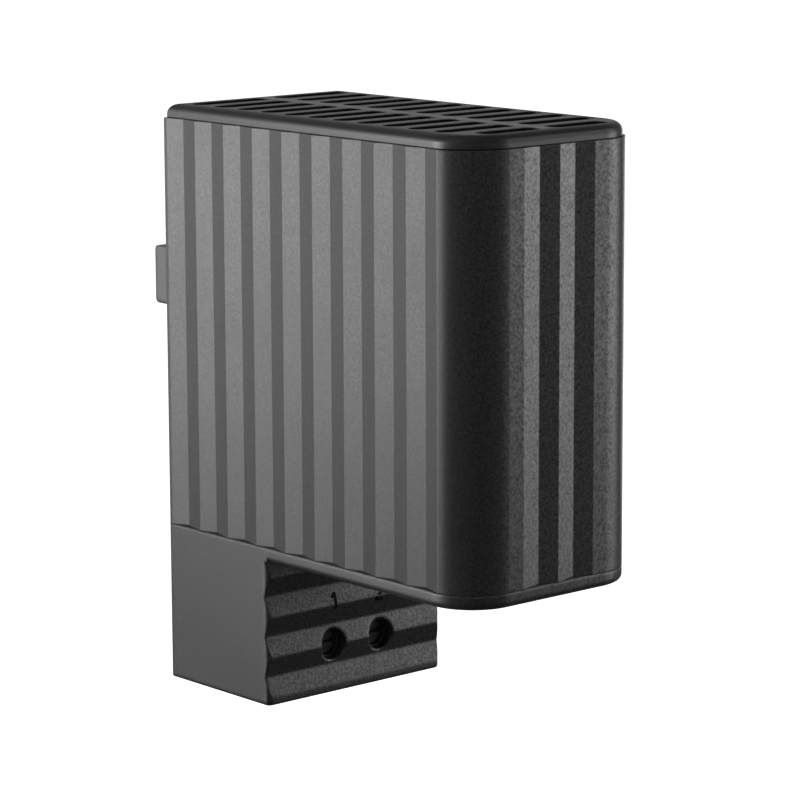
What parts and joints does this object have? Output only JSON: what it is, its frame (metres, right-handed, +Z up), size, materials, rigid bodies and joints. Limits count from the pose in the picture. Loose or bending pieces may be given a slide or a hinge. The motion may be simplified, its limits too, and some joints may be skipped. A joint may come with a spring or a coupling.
{
  "type": "enclosure heater",
  "caption": "Ribbed black enclosure heater that clips on a mounting rail, with a slotted top grille and a terminal box with screw clamps under its hood.",
  "frame": {"origin": "centre of the mounting rail on the back plane that rests on the rail", "axes": "+X along the rail to the right of someone who faces the heater, +Y out of the back, +Z up"},
  "size_m": [0.038, 0.0806, 0.098],
  "materials": {
    "shell": "fine spark-eroded texture, black",
    "block": "smooth black",
    "spring_steel": "drawn wire",
    "plated_steel": "zinc plated",
    "brass": "tinned brass, satin",
    "aluminium": "mill finish",
    "support": "heat-resistant moulding, natural",
    "ceramic": "fired ceramic, dark grey, ground",
    "film": "amber film",
    "lead": "silicone insulation"
  },
  "bodies": {
    "body": {"hood": "shell", "top_grille": "shell", "base": "shell", "terminal_block": "block", "latch_spring": "spring_steel", "contact_bar_1": "brass", "contact_bar_2": "brass", "heat_sink": "aluminium", "lower_support": "support", "upper_support": "support", "heating_ceramics": "ceramic", "contact_plate_a": "aluminium", "contact_plate_b": "aluminium", "insulating_film_a": "film", "insulating_film_b": "film", "lead_a": "lead", "lead_b": "lead", "lead_crimps": "plated_steel"},
    "latch": {"din_latch": "block"},
    "cage_1": {"clamp_cage_1": "plated_steel"},
    "cage_2": {"clamp_cage_2": "plated_steel"},
    "screw_1": {"clamp_screw_1": "plated_steel"},
    "screw_2": {"clamp_screw_2": "plated_steel"}
  },
  "joints": [
    {"name": "latch_slide", "type": "slide", "parent": "body", "child": "latch", "axis": [0, 0, -1], "range_m": [0, 0.003], "stiffness_N_per_m": 1500, "springref_m": -0.004, "deforming": ["latch_spring"]},
    {"name": "screw_1_turn", "type": "hinge", "parent": "body", "child": "screw_1", "pos_m": [-0.0047, -0.02, -0.0408], "axis": [0, 1, 0], "range_deg": [0, 1440]},
    {"name": "cage_1_rise", "type": "slide", "parent": "body", "child": "cage_1", "axis": [0, -1, 0], "range_m": [0, 0.0024]},
    {"name": "screw_2_turn", "type": "hinge", "parent": "body", "child": "screw_2", "pos_m": [0.0057, -0.02, -0.0408], "axis": [0, 1, 0], "range_deg": [0, 1440]},
    {"name": "cage_2_rise", "type": "slide", "parent": "body", "child": "cage_2", "axis": [0, -1, 0], "range_m": [0, 0.0024]}
  ],
  "couplings": [
    {"joint": "screw_1_turn", "follows": "cage_1_rise", "rad_per_m": 10472},
    {"joint": "screw_2_turn", "follows": "cage_2_rise", "rad_per_m": 10472}
  ]
}
